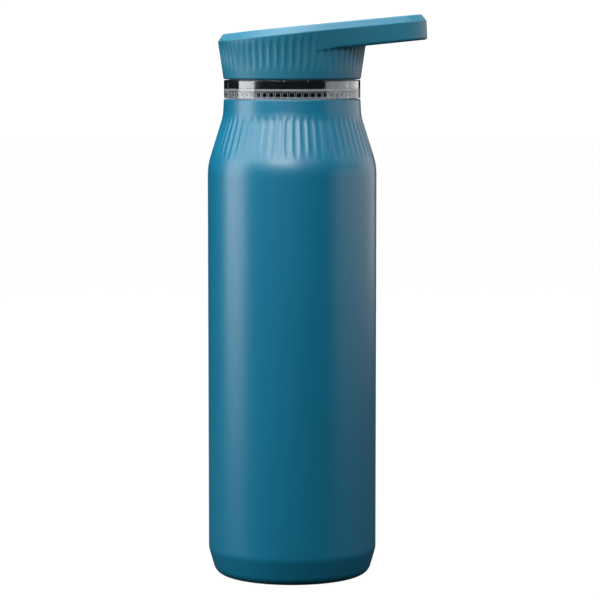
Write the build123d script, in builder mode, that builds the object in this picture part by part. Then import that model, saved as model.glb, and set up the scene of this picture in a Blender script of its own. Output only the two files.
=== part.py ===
"""A 600 ml insulated cycling bottle: a vacuum flask of two welded steel walls, a clear screw-in
drinking spout, and a fluted screw cap with a carrying tongue.

Millimetres. Z runs up the bottle's axis from the plane of its foot, and the tongue points along +X.
"""

from build123d import *
from math import atan, cos, hypot, radians, sin, tan
import os

# ---- driving dimensions -------------------------------------------------------------------------
# Outer steel wall, from the foot upwards
body_r = 36.5               # outside radius of the straight body, a standard bottle cage's bore
body_h = 178.45             # foot to shoulder
shoulder_h = 21.25
neck_h = 7.2
rim_r = 29.5
neck_taper = 0.054          # how fast the neck narrows with height
wall_t = 0.7                # outer wall, and the pan that closes it below
base_taper = 16.4           # degrees between the tapered base and the axis
base_h = 11.3               # height of the tapered base
foot_fillet = 5.2
base_crease_round = 3.0
shoulder_blend = 26.0       # bend radii of the formed shoulder and neck
neck_blend = 20.0
rim_round = 0.5

# Base pan, its cover and what the vacuum needs
weld_in = 6.2               # from the base's theoretical corner in to the pan's ring weld
pan_rise_in = 2.4           # from the ring weld in to where the pan is raised, to hold the cover
pan_z = 2.2                 # underside of the raised pan
pan_step = 1.0              # how far the pan's slopes run sideways
pan_bend = 1.2
dimple_r = 7.0
dimple_h = 1.4
port_r = 1.0                # hole that the flask is evacuated through
cover_t = 0.9
cover_edge = 0.3
bead_r = 2.4                # solder that seals the port
bead_h = 0.7
getter_r = 3.5              # pill that keeps the vacuum clean
getter_t = 1.4
getter_x = 15.0
clip_t = 0.3                # spot-welded strap over the pill
clip_w = 3.0
clip_foot = 2.3
clip_gap = 0.4

# Inner steel wall
vacuum_gap = 3.05           # between the two walls of the straight body
floor_gap = 5.5             # between the pan and the liner's floor
inner_t = 0.45
inner_seam_h = 7.6          # liner floor up to its girth weld
inner_shoulder_drop = 1.85  # the liner's shoulder starts this much lower than the outer one
inner_shoulder_h = 17.0
rim_flange = 2.2            # weld flange that joins the liner's neck to the outer rim
inner_floor_bend = 6.0
foil_t = 0.15               # copper foil wrapped round the liner
foil_gap = 0.2
foil_margin = 6.0           # bare liner above and below the foil

# Flutes and pockets
flute_count = 60
flute_depth = 0.4
flute_w = 2.9
shoulder_flute_low = 4.05   # from the start of the shoulder
shoulder_flute_high = 0.1   # below the end of the shoulder
cell_count = 60             # moulded pockets round the clear ring's lower half
cell_w = 2.45
cell_depth = 0.65
cell_lap = 0.4              # how far each pocket's core runs in under the deck
cell_skin = 0.4             # left between a pocket and the top of the deck

# Screw threads
neck_lead = 9.0             # spout to neck
neck_starts = 2
neck_thread_drop = 8.9      # from the rim down to the start of the neck's ridges
cap_lead = 12.0             # cap to spout
cap_starts = 3
cap_thread_h = 7.1          # from the deck up to the start of the tube's ridges
thread_turn = 100.0         # degrees that each ridge runs round
thread_h = 1.3              # how far a ridge stands off its wall
thread_foot_w = 1.9
thread_crest_w = 0.9
thread_gap = 0.4            # radial clearance between a ridge's crest and the wall it faces
ridge_root = 0.3            # how deep a ridge is rooted in its wall

# Clear spout
seam_gap = 0.4              # shadow line between the rim and the clear ring
ring_inset = 0.05           # the clear ring is this much inside the rim
ring_h = 7.8
ring_t = 1.3
ring_edge = 0.3
spout_gasket_t = 1.3
gasket_gap = 0.3            # between the gasket and the skirt that it is slipped over
gasket_margin = 0.15        # between the gasket and the clear ring
deck_t = 2.2
skirt_h = 13.2              # threaded skirt below the deck
skirt_t = 1.8
tube_r = 19.5
tube_t = 2.0
tube_h = 17.1               # tube to drink from, above the deck
tube_round = 0.8
funnel_drop = 0.8           # below the deck's top, the bore widens at 45 degrees

# Cap
cap_gap = 0.3               # shadow line between the clear ring and the cap
cap_step = 0.14             # the cap's lower edge stands this much outside the clear ring
cap_slope = 0.148           # how fast the cap widens with height
cap_wall = 2.0
cap_round = 0.9
cap_band_h = 3.6            # plain band below the flutes
cap_flute_margin = 1.75     # plain wall left above each flute
cap_h = 22.35               # lower edge to the lid's top, on the axis
lid_rise = 0.1004           # slope of the lid's top towards the tongue
lid_bevel_h = 3.05
lid_bevel_w = 2.2
lid_skin = 2.4
tongue_t = 11.15            # depth of the tongue, top to underside
tongue_round = 1.3          # broken edge round the tongue's underside
tongue_x = 42.8             # centre of the tongue's round tip
tongue_reach_x = 12.0       # the tongue covers the cap's wall beyond here
tongue_tip_r = 15.1
tongue_draft = 0.4          # the tip is this much wider at its underside
tongue_wall = 2.2
tongue_web = 2.0            # wall left between the cap's bore and the hollow tongue
seam_step = 0.1             # the lid plate stands this much proud of the fluted wall
flap_t = 1.6                # cover that closes the hollow tongue
flap_gap = 0.15
flap_post_r = 1.8
flap_post_in = 6.1          # from the web to the inner post's axis
flap_post_out = 6.2         # from the tip's centre to the outer post's axis

# Cap liner, gasket and foam
liner_play = 0.75           # between the dark skirt and the clear ring
liner_skirt_t = 1.8
liner_skirt_lift = 1.2      # between the dark skirt and the deck
liner_web_h = 1.0           # from the cap's lower edge up to the web
liner_web_t = 2.0
sleeve_t = 1.8
sleeve_lift = 1.5           # between the sleeve and the deck
cap_gasket_lap = 0.7        # how far the gasket reaches inside the tube's bore
cap_gasket_gap = 0.2
cap_gasket_t = 1.5
liner_top_t = 2.0
foam_inset = 6.4            # between the foam puck and the cap's bore
foam_gap = 0.3

# ---- what follows from them ---------------------------------------------------------------------
base_corner_r = body_r - base_h * tan(radians(base_taper))
weld_r = base_corner_r - weld_in
pan_rise_r = weld_r - pan_rise_in
pan_top_z = pan_z + wall_t
dimple_z = pan_z + dimple_h
cover_r = pan_rise_r - pan_bend

neck_crease_z = body_h + shoulder_h
rim_z = neck_crease_z + neck_h
neck_crease_r = rim_r + neck_h * neck_taper
shoulder_slope = (body_r - neck_crease_r) / shoulder_h
flange_r = rim_r - wall_t
neck_bore_r = flange_r - rim_flange
neck_out_r = neck_bore_r + inner_t
inner_out_r = body_r - wall_t - vacuum_gap
inner_floor_z = pan_top_z + floor_gap
inner_seam_z = inner_floor_z + inner_seam_h
inner_shoulder_z = body_h - inner_shoulder_drop
inner_neck_z = inner_shoulder_z + inner_shoulder_h
neck_thread_z = rim_z - neck_thread_drop

skirt_r = neck_bore_r - thread_h - thread_gap
skirt_in_r = skirt_r - skirt_t
deck_z = rim_z + spout_gasket_t
deck_top_z = deck_z + deck_t
skirt_low_z = deck_z - skirt_h
ring_r = rim_r - ring_inset
ring_in_r = ring_r - ring_t
ring_low_z = rim_z + seam_gap
ring_top_z = ring_low_z + ring_h
cell_top_z = deck_top_z - cell_skin
tube_in_r = tube_r - tube_t
tube_top_z = deck_top_z + tube_h
funnel_top_z = deck_top_z - funnel_drop
cap_thread_z = deck_top_z + cap_thread_h

cap_low_z = ring_top_z + cap_gap
cap_low_r = ring_r + cap_step
cap_flute_low = cap_low_z + cap_band_h
lid_tilt = atan(lid_rise)
lid_z = cap_low_z + cap_h
under_z = lid_z - tongue_t
ceiling_z = lid_z - lid_skin
sleeve_r = tube_r + thread_h + thread_gap
sleeve_low_z = deck_top_z + sleeve_lift
liner_skirt_r = ring_in_r - liner_play
liner_skirt_z = deck_top_z + liner_skirt_lift
liner_web_z = cap_low_z + liner_web_h
liner_ceiling_z = tube_top_z + cap_gasket_t
liner_top_z = liner_ceiling_z + liner_top_t


def cap_r(z):
    """Outside radius of the cap's conical wall at a height."""
    return cap_low_r + (z - cap_low_z) * cap_slope


def lid_level(axis_z):
    """A plane parallel to the lid's sloping top, which crosses the bottle's axis at axis_z."""
    up = (-sin(lid_tilt), 0, cos(lid_tilt))
    return Plane(origin=(0, 0, axis_z), x_dir=(cos(lid_tilt), 0, sin(lid_tilt)), z_dir=up)


def lid_circle(axis_z, inset=0.0):
    """Where a sloping level cuts the cap's wall: the near-circle's centre on X, and its radius."""
    centre = cap_slope * lid_rise * cap_r(axis_z)
    return centre, cap_r(axis_z) + seam_step - inset


def lid_outline(axis_z, tip_r, inset=0.0):
    """The lid's plan on a sloping level: the cap's circle and the tongue's tip, joined by tangents."""
    centre, radius = lid_circle(axis_z, inset)
    with BuildSketch(lid_level(axis_z)) as outline:
        with Locations((centre / cos(lid_tilt), 0)):
            Circle(radius)
        with Locations((tongue_x / cos(lid_tilt), 0)):
            Circle(tip_r - inset)
        make_hull()
    return outline.sketch


def capsule(start, end, radius):
    """A round-ended rod, which cuts one flute."""
    length = (end - start).length
    with BuildPart(Plane(origin=start, z_dir=end - start)) as rod:
        Cylinder(radius, length, align=(Align.CENTER, Align.CENTER, Align.MIN))
        Sphere(radius)
        with Locations((0, 0, length)):
            Sphere(radius)
    return rod.part


def flute_cutter(low, high, angle=0.0):
    """A rod that sinks flute_depth into a conical wall, from (r, z) low to (r, z) high."""
    reach = (flute_depth**2 + (flute_w / 2) ** 2) / (2 * flute_depth)
    run, rise = high[0] - low[0], high[1] - low[1]
    slant = hypot(run, rise)
    off = reach - flute_depth
    ends = []
    for share in (flute_w / 2 / slant, 1 - flute_w / 2 / slant):
        r = low[0] + run * share + rise / slant * off
        z = low[1] + rise * share - run / slant * off
        ends.append(Vector(r * cos(angle), r * sin(angle), z))
    return capsule(ends[0], ends[1], reach)


def thread_ridges(wall_r, side, low_z, lead, starts):
    """Short helical ridges on a wall; side is 1 where they stand outwards, -1 where inwards."""
    height = lead * thread_turn / 360
    path = Helix(pitch=lead, height=height, radius=wall_r, center=(0, 0, low_z))
    foot, crest = thread_foot_w / 2, thread_crest_w / 2
    with BuildPart() as ridge:
        with BuildSketch(Plane.XZ.shift_origin((wall_r, 0, low_z))):
            with BuildLine():
                Polyline(
                    (-side * ridge_root, -foot),
                    (0, -foot),
                    (side * thread_h, -crest),
                    (side * thread_h, crest),
                    (0, foot),
                    (-side * ridge_root, foot),
                    close=True,
                )
            make_face()
        sweep(path=path, is_frenet=True)
    turned = [ridge.part.rotate(Axis.Z, start * 360 / starts) for start in range(starts)]
    return turned


os.makedirs("parts", exist_ok=True)

# ---- steel flask --------------------------------------------------------------------------------
# Outer wall: a drawn tube with a tapered base, a fluted shoulder and a plain neck.
shoulder_flute = flute_cutter(
    (body_r - shoulder_slope * shoulder_flute_low, body_h + shoulder_flute_low),
    (neck_crease_r + shoulder_slope * shoulder_flute_high, neck_crease_z - shoulder_flute_high),
)
with BuildPart() as outer_wall:
    with BuildSketch(Plane.XZ):
        with BuildLine():
            FilletPolyline(
                (weld_r, 0),
                (base_corner_r, 0),
                (body_r, base_h),
                (body_r, body_h),
                (neck_crease_r, neck_crease_z),
                (rim_r, rim_z),
                radius=[foot_fillet, base_crease_round, shoulder_blend, neck_blend],
            )
            offset(amount=wall_t, side=Side.LEFT)
        make_face()
    revolve(axis=Axis.Z)
    rim_edges = outer_wall.edges().filter_by(GeomType.CIRCLE).group_by(Axis.Z)[-1]
    fillet(rim_edges.sort_by(SortBy.RADIUS)[-1], rim_round)
    with PolarLocations(0, flute_count):
        add(shoulder_flute, mode=Mode.SUBTRACT)
outer_wall.part.label = "outer_wall"
export_step(outer_wall.part, "parts/outer_wall.step")

# Base pan: closes the outer wall, dimpled in the middle round the evacuation port.
with BuildPart() as base_shell:
    with BuildSketch(Plane.XZ):
        with BuildLine():
            FilletPolyline(
                (port_r, dimple_z),
                (dimple_r, dimple_z),
                (dimple_r + pan_step, pan_z),
                (pan_rise_r, pan_z),
                (pan_rise_r + pan_step, 0),
                (weld_r, 0),
                radius=pan_bend / 2,
            )
            offset(amount=wall_t, side=Side.LEFT)
        make_face()
    revolve(axis=Axis.Z)
base_shell.part.label = "base_shell"
export_step(base_shell.part, "parts/base_shell.step")

# Seal bead: solder that runs into the evacuation port and domes below it.
with BuildPart() as seal_bead:
    with BuildSketch(Plane.XZ):
        with BuildLine():
            TangentArc((0, dimple_z - bead_h), (bead_r, dimple_z), tangent=(1, 0))
            Polyline(
                (bead_r, dimple_z),
                (port_r, dimple_z),
                (port_r, dimple_z + wall_t),
                (0, dimple_z + wall_t),
                (0, dimple_z - bead_h),
            )
        make_face()
    revolve(axis=Axis.Z)
seal_bead.part.label = "seal_bead"
export_step(seal_bead.part, "parts/seal_bead.step")

# Base cover: a disc bonded into the raised pan, over the seal.
with BuildPart() as base_cover:
    with BuildSketch(Plane.XY.offset(pan_z - cover_t)):
        Circle(cover_r)
    extrude(amount=cover_t)
    chamfer(base_cover.edges().group_by(Axis.Z)[0], cover_edge)
base_cover.part.label = "base_cover"
export_step(base_cover.part, "parts/base_cover.step")

# Getter pill on the pan, inside the vacuum, and the strap that holds it down.
with BuildPart() as getter:
    with BuildSketch(Plane.XY.offset(pan_top_z)):
        with Locations((getter_x, 0)):
            Circle(getter_r)
    extrude(amount=getter_t)
getter.part.label = "getter"
export_step(getter.part, "parts/getter.step")

clip_side = getter_r + clip_gap
clip_top = getter_t + clip_gap / 2
with BuildPart() as getter_clip:
    with BuildSketch(Plane.XZ.shift_origin((getter_x, 0, pan_top_z))):
        with BuildLine():
            Polyline(
                (-clip_side - clip_foot, 0),
                (-clip_side, 0),
                (-clip_side, clip_top),
                (clip_side, clip_top),
                (clip_side, 0),
                (clip_side + clip_foot, 0),
            )
            offset(amount=clip_t, side=Side.LEFT, kind=Kind.INTERSECTION)
        make_face()
    extrude(amount=clip_w / 2, both=True)
getter_clip.part.label = "getter_clip"
export_step(getter_clip.part, "parts/getter_clip.step")

# Liner floor and liner wall, butt welded at the girth seam. The wall ends in the flange that is
# welded to the outer wall's rim, and its neck carries the rolled thread that the spout screws into.
with BuildPart() as inner_base:
    with BuildSketch(Plane.XZ):
        with BuildLine():
            FilletPolyline(
                (0, inner_floor_z),
                (inner_out_r, inner_floor_z),
                (inner_out_r, inner_seam_z),
                radius=inner_floor_bend,
            )
            offset(amount=inner_t, side=Side.LEFT)
        make_face()
    revolve(axis=Axis.Z)
inner_base.part.label = "inner_base"
export_step(inner_base.part, "parts/inner_base.step")

neck_ridges = thread_ridges(neck_bore_r, -1, neck_thread_z, neck_lead, neck_starts)
with BuildPart() as inner_wall:
    with BuildSketch(Plane.XZ):
        with BuildLine():
            FilletPolyline(
                (inner_out_r, inner_seam_z),
                (inner_out_r, inner_shoulder_z),
                (neck_out_r, inner_neck_z),
                (neck_out_r, rim_z - inner_t),
                (flange_r, rim_z - inner_t),
                radius=[shoulder_blend, neck_blend / 2, inner_t],
            )
            offset(amount=inner_t, side=Side.LEFT)
        make_face()
    revolve(axis=Axis.Z)
    add(neck_ridges)
inner_wall.part.label = "inner_wall"
export_step(inner_wall.part, "parts/inner_wall.step")

# Heat shield: copper foil wrapped round the liner, in the vacuum.
foil_r = inner_out_r + foil_gap
with BuildPart() as heat_shield:
    with BuildSketch(Plane.XY.offset(inner_seam_z + foil_margin)):
        Circle(foil_r + foil_t)
        Circle(foil_r, mode=Mode.SUBTRACT)
    extrude(amount=inner_shoulder_z - inner_seam_z - 2 * foil_margin)
heat_shield.part.label = "heat_shield"
export_step(heat_shield.part, "parts/heat_shield.step")

# ---- drinking spout -----------------------------------------------------------------------------
# Spout gasket: a flat silicone ring between the steel rim and the spout's deck.
with BuildPart() as spout_gasket:
    with BuildSketch(Plane.XY.offset(rim_z)):
        Circle(ring_in_r - gasket_margin)
        Circle(skirt_r + gasket_gap, mode=Mode.SUBTRACT)
    extrude(amount=deck_z - rim_z)
spout_gasket.part.label = "spout_gasket"
export_step(spout_gasket.part, "parts/spout_gasket.step")

# Spout: one clear moulding. A threaded skirt goes down into the neck, the outer ring shows between
# bottle and cap, and the tube to drink from carries the cap's thread.
skirt_ridges = thread_ridges(skirt_r, 1, neck_thread_z - neck_lead / neck_starts / 2, neck_lead, neck_starts)
tube_ridges = thread_ridges(tube_r, 1, cap_thread_z, cap_lead, cap_starts)
with BuildPart() as spout:
    with BuildSketch(Plane.XZ):
        with BuildLine():
            Polyline(
                (skirt_in_r, skirt_low_z),
                (skirt_r, skirt_low_z),
                (skirt_r, deck_z),
                (ring_in_r, deck_z),
                (ring_in_r, ring_low_z),
                (ring_r, ring_low_z),
                (ring_r, ring_top_z),
                (ring_in_r, ring_top_z),
                (ring_in_r, deck_top_z),
                (tube_r, deck_top_z),
                (tube_r, tube_top_z),
                (tube_in_r, tube_top_z),
                (tube_in_r, funnel_top_z),
                (skirt_in_r, funnel_top_z - skirt_in_r + tube_in_r),
                close=True,
            )
        make_face()
    revolve(axis=Axis.Z)
    fillet(spout.edges().group_by(Axis.Z)[-1], tube_round)
    chamfer(spout.edges().filter_by(lambda edge: abs(edge.center().Z - ring_top_z) < 0.01), ring_edge)
    with BuildSketch(Plane.XY.offset(ring_low_z)):
        with PolarLocations(ring_in_r + (cell_depth - cell_lap) / 2, cell_count):
            Rectangle(cell_depth + cell_lap, cell_w)
    extrude(amount=cell_top_z - ring_low_z, mode=Mode.SUBTRACT)
    add(skirt_ridges)
    add(tube_ridges)
spout.part.label = "spout"
export_step(spout.part, "parts/spout.step")

# ---- cap ----------------------------------------------------------------------------------------
# Cap gasket: a silicone ring in the liner's ceiling, which the tube's rim presses into.
with BuildPart() as cap_gasket:
    with BuildSketch(Plane.XY.offset(tube_top_z)):
        Circle(sleeve_r - cap_gasket_gap)
        Circle(tube_in_r - cap_gasket_lap, mode=Mode.SUBTRACT)
    extrude(amount=cap_gasket_t)
cap_gasket.part.label = "cap_gasket"
export_step(cap_gasket.part, "parts/cap_gasket.step")

# Cap shell: a fluted cone under a sloping, bevelled lid whose plan runs out into the tongue.
under_tip_r = tongue_tip_r + tongue_draft
with BuildPart() as lid_plate:
    loft(
        [
            lid_outline(under_z, under_tip_r, tongue_round).face(),
            lid_outline(under_z + tongue_round, under_tip_r).face(),
            lid_outline(lid_z - lid_bevel_h, tongue_tip_r).face(),
            lid_outline(lid_z, tongue_tip_r, lid_bevel_w).face(),
        ],
        ruled=True,
    )

with BuildPart() as cap_bore:
    with BuildSketch(Plane.XZ):
        with BuildLine():
            Polyline(
                (0, cap_low_z),
                (cap_low_r - cap_wall, cap_low_z),
                (cap_r(lid_z) - cap_wall, lid_z),
                (0, lid_z),
                close=True,
            )
        make_face()
    revolve(axis=Axis.Z)
    split(bisect_by=lid_level(ceiling_z), keep=Keep.BOTTOM)

web_r = cap_r(lid_z) - cap_wall + tongue_web
hollow_h = (tongue_t - lid_skin) * cos(lid_tilt)
with BuildPart() as tongue_hollow:
    extrude(lid_outline(under_z, under_tip_r, tongue_wall).face(), amount=hollow_h)
    Cylinder(web_r, 2 * lid_z, mode=Mode.SUBTRACT)

cap_flutes = []
for step in range(flute_count):
    turn = radians(step * 360 / flute_count)
    reach_x = cap_r(lid_z) * cos(turn)
    under_tongue = reach_x > tongue_reach_x
    top_z = (under_z if under_tongue else lid_z - lid_bevel_h) + lid_rise * reach_x - cap_flute_margin
    low = (cap_r(cap_flute_low), cap_flute_low)
    cap_flutes.append(flute_cutter(low, (cap_r(top_z), top_z), turn))

with BuildPart() as cap_shell:
    with BuildSketch(Plane.XZ):
        with BuildLine():
            Polyline(
                (0, cap_low_z),
                (cap_low_r, cap_low_z),
                (cap_r(lid_z), lid_z),
                (0, lid_z),
                close=True,
            )
        make_face()
    revolve(axis=Axis.Z)
    split(bisect_by=lid_level(lid_z - lid_bevel_h - cap_flute_margin), keep=Keep.BOTTOM)
    fillet(cap_shell.edges().group_by(Axis.Z)[0], cap_round)
    add(lid_plate.part)
    add(cap_flutes, mode=Mode.SUBTRACT)
    add(cap_bore.part, mode=Mode.SUBTRACT)
    add(tongue_hollow.part, mode=Mode.SUBTRACT)
cap_shell.part.label = "cap_shell"
export_step(cap_shell.part, "parts/cap_shell.step")

# Handle cover: closes the hollow tongue from below, on two posts that reach its ceiling.
flap_post_x = (web_r + flap_post_in, tongue_x + flap_post_out)
with BuildPart() as handle_cover:
    extrude(lid_outline(under_z, under_tip_r, tongue_wall + flap_gap).face(), amount=flap_t)
    Cylinder(web_r + flap_gap, 2 * lid_z, mode=Mode.SUBTRACT)
    with BuildSketch(lid_level(under_z + flap_t / 2)):
        with Locations(*[(x, 0) for x in flap_post_x]):
            Circle(flap_post_r)
    extrude(amount=hollow_h - flap_t / 2)
handle_cover.part.label = "handle_cover"
export_step(handle_cover.part, "parts/handle_cover.step")

# Cap liner: a dark moulding welded into the cap. Its sleeve screws onto the tube, and its outer
# skirt hangs inside the clear ring.
sleeve_ridges = thread_ridges(sleeve_r, -1, cap_thread_z - cap_lead / cap_starts / 2, cap_lead, cap_starts)
with BuildPart() as cap_liner:
    with BuildSketch(Plane.XZ):
        with BuildLine():
            Polyline(
                (liner_skirt_r - liner_skirt_t, liner_skirt_z),
                (liner_skirt_r, liner_skirt_z),
                (liner_skirt_r, liner_web_z),
                (cap_r(liner_web_z) - cap_wall, liner_web_z),
                (cap_r(liner_web_z) - cap_wall, liner_web_z + liner_web_t),
                (sleeve_r + sleeve_t, liner_web_z + liner_web_t),
                (sleeve_r + sleeve_t, liner_top_z),
                (0, liner_top_z),
                (0, liner_ceiling_z),
                (sleeve_r, liner_ceiling_z),
                (sleeve_r, sleeve_low_z),
                (sleeve_r + sleeve_t, sleeve_low_z),
                (sleeve_r + sleeve_t, liner_web_z),
                (liner_skirt_r - liner_skirt_t, liner_web_z),
                close=True,
            )
        make_face()
    revolve(axis=Axis.Z)
    add(sleeve_ridges)
cap_liner.part.label = "cap_liner"
export_step(cap_liner.part, "parts/cap_liner.step")

# Foam puck between the liner and the sloping lid.
with BuildPart() as cap_insulation:
    with BuildSketch(Plane.XY.offset(liner_top_z)):
        Circle(cap_r(liner_top_z) - cap_wall - foam_inset)
    extrude(amount=lid_z - liner_top_z)
    split(bisect_by=lid_level(ceiling_z - foam_gap), keep=Keep.BOTTOM)
cap_insulation.part.label = "cap_insulation"
export_step(cap_insulation.part, "parts/cap_insulation.step")
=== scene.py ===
"""The looks of an insulated cycling bottle, built round its fixed CAD frame.

Laid out as a Blender add-on: each group of pieces is made by its own operator, and the sizes and
colours that a user would change are properties in the sidebar. Lengths in the geometry code are
millimetres until a mesh is made; Blender's own units are metres.
"""

import math

import bmesh
import bpy
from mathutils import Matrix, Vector


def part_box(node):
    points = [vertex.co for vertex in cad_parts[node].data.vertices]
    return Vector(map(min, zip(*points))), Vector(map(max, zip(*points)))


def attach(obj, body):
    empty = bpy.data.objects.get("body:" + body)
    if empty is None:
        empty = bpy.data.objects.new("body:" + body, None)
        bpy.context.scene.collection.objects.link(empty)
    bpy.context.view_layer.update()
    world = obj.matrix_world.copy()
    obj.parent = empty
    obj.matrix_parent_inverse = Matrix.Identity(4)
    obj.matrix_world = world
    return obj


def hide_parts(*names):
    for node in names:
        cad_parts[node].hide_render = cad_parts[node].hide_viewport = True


bl_info = {
    "name": "Insulated Cycling Bottle",
    "version": (1, 0, 0),
    "blender": (4, 5, 0),
    "location": "3D View > Sidebar > Bottle",
    "description": "Makes the pieces, materials and studio of an insulated cycling bottle",
    "category": "Add Mesh",
}

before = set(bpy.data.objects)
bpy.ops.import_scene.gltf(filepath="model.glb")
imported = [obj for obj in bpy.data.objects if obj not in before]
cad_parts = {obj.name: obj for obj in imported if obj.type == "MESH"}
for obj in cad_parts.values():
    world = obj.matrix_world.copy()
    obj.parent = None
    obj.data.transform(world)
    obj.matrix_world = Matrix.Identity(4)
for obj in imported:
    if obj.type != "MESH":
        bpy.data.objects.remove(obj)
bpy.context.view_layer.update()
MM = 0.001


def node_box(node):
    """A CAD node's lowest and highest corners, in millimetres."""
    low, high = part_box(node)
    return low / MM, high / MM


# ---- sizes read from the frame ------------------------------------------------------------------
WALL_LOW, WALL_HIGH = node_box("outer_wall")
SPOUT_LOW, SPOUT_HIGH = node_box("spout")
SHELL_LOW, SHELL_HIGH = node_box("cap_shell")
LINER_LOW, LINER_HIGH = node_box("cap_liner")
GASKET_LOW, GASKET_HIGH = node_box("spout_gasket")
CAP_GASKET_LOW, CAP_GASKET_HIGH = node_box("cap_gasket")
FLASK_LOW, FLASK_HIGH = node_box("inner_wall")
PAN_LOW, PAN_HIGH = node_box("base_shell")
COVER_LOW, COVER_HIGH = node_box("base_cover")

# ---- outer wall ---------------------------------------------------------------------------------
BODY_R = WALL_HIGH.x
RIM_Z = FLASK_HIGH.z
RIM_R = 29.5
RIM_ROUND = 0.5
WALL_T = 0.7
FOOT_CORNER_R = 33.17
FOOT_FILLET = 5.2
WELD_R = PAN_HIGH.x
BASE_H = 11.3
BASE_ROUND = 9.0
SHOULDER_Z = 178.45
SHOULDER_BLEND = 26.0
NECK_Z = 199.7
NECK_R = 29.89
NECK_BLEND = 20.0
FLUTES = 60
SHOULDER_FLUTE_LOW = 181.0
SHOULDER_FLUTE_HIGH = 200.4

FLUTE_LIFT = 1.15  # a cutter's full lift, in flute depths: past 1, so that nothing is left of a flute

# ---- flask --------------------------------------------------------------------------------------
LINER_OUT_R = FLASK_HIGH.x
LINER_T = 0.45
LINER_SEAM_Z = FLASK_LOW.z
LINER_SHOULDER_Z = 176.6
LINER_NECK_Z = 193.6
NECK_BORE_R = 26.6
NECK_LEAD = 9.0
NECK_STARTS = 2
NECK_THREAD_Z = RIM_Z - 8.9
PAN_Z = 2.2
PAN_STEP = 1.0
PAN_RISE_R = WELD_R - 2.4
PAN_BEND = 0.6
DIMPLE_R = 7.0
DIMPLE_Z = 3.6
PORT_R = 1.0

# ---- threads ------------------------------------------------------------------------------------
THREAD_TURN = 100.0
THREAD_H = 1.3
THREAD_FOOT = 1.9
THREAD_CREST = 0.9

# ---- clear spout --------------------------------------------------------------------------------
RING_R = SPOUT_HIGH.x
RING_T = 1.3
RING_LOW_Z = RIM_Z + 0.4
RING_TOP_Z = RING_LOW_Z + 7.8
DECK_Z = GASKET_HIGH.z
DECK_T = 2.2
SKIRT_R = 24.9
SKIRT_T = 1.8
SKIRT_LOW_Z = SPOUT_LOW.z
TUBE_R = 19.5
TUBE_T = 2.0
CAP_GASKET_LAP = 0.7
TUBE_TOP_Z = SPOUT_HIGH.z
FUNNEL_DROP = 0.8
CELLS = 60
CELL_W = 2.45
CELL_DEPTH = 0.65
CELL_LAP = 0.4
CELL_SKIN = 0.4
CELL_ROOF_ROUND = 0.3
FROST_H = 0.8
FROST_LEAN = 0.5
FROST_ROOF = -0.8
THREAD_REACH = 0.1
SKIRT_THREAD_LOW_Z = 193.0
TUBE_THREAD_LOW_Z = 213.0
TUBE_THREAD_HIGH_Z = 225.0
TUBE_RUNGS_LOW_Z = 215.6
TUBE_RUNGS_HIGH_Z = 223.4
# Turn from a pocket's middle, in half pocket widths, and the share of its depth there.
CELL_COLUMNS = (
    (-1.02, 0.0),
    (-1.0, 0.5),
    (-0.92, 0.9),
    (-0.7, 1.0),
    (0.7, 1.0),
    (0.92, 0.9),
    (1.0, 0.5),
    (1.02, 0.0),
)

# ---- cap ----------------------------------------------------------------------------------------
CAP_LOW_Z = SHELL_LOW.z
CAP_LOW_R = 29.59
CAP_SLOPE = 0.148
CAP_WALL = 2.0
CAP_ROUND = 0.9
CAP_FLUTE_LOW = 218.2
CAP_RUN_LOW = 9.0
CAP_RUN_OPEN = 6.5
CAP_RUN_UNDER = 1.5
LID_Z = 237.75
LID_RISE = 0.1004
BEVEL_H = 3.05
BEVEL_W = 2.2
BEVEL_ROUND = 0.9
LID_SKIN = 2.4
TONGUE_T = 11.15
TONGUE_ROUND = 1.2
TONGUE_X = 42.8
TONGUE_TIP_R = 15.1
TONGUE_DRAFT = 0.4
TONGUE_WALL = 2.2
WEB_R = 32.9
CAP_LEAD = 12.0
CAP_STARTS = 3
CAP_THREAD_Z = 217.5

# ---- cap liner ----------------------------------------------------------------------------------
LINER_SKIRT_R = 27.4
LINER_SKIRT_T = 1.8
LINER_SKIRT_Z = 211.6
LINER_WEB_Z = CAP_LOW_Z + 1.0
LINER_WEB_T = 2.0
SLEEVE_R = 21.2
SLEEVE_T = 1.8


# ---- studio: name, degrees to the camera's right, degrees up, distance, width, height, radiance --
FLOOR_Z = -0.0002
LIGHT_AIM_Z = 0.13
WORLD_DIM = 0.01
PAPER_GLOW = 0.99
LIGHTS = (
    ("Key Low", -83, 0, 1.3, 0.78, 0.43, 6.1),
    ("Key Middle", -83, 20, 1.3, 0.78, 0.43, 5.0),
    ("Key High", -83, 43, 1.3, 0.78, 0.55, 2.4),
    ("Front Left", -50, 33, 0.85, 0.43, 0.26, 5.2),
    ("Front Middle", -13, 32, 0.85, 0.5, 0.26, 12.0),
    ("Front Right", 24, 33, 0.85, 0.43, 0.26, 1.8),
    ("Top Left", -50, 60, 0.75, 0.55, 0.42, 3.1),
    ("Top", 0, 90, 0.75, 0.6, 0.5, 9.2),
    ("Right Panel", 84, -4, 1.4, 1.3, 0.65, 1.9),
    ("Right Back", 129, 0, 1.4, 1.1, 0.8, 1.5),
    ("Right High", 98, 30, 1.4, 1.5, 0.8, 1.2),
    ("Back Panel", 180, 42, 1.2, 1.3, 0.7, 3.0),
)


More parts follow.
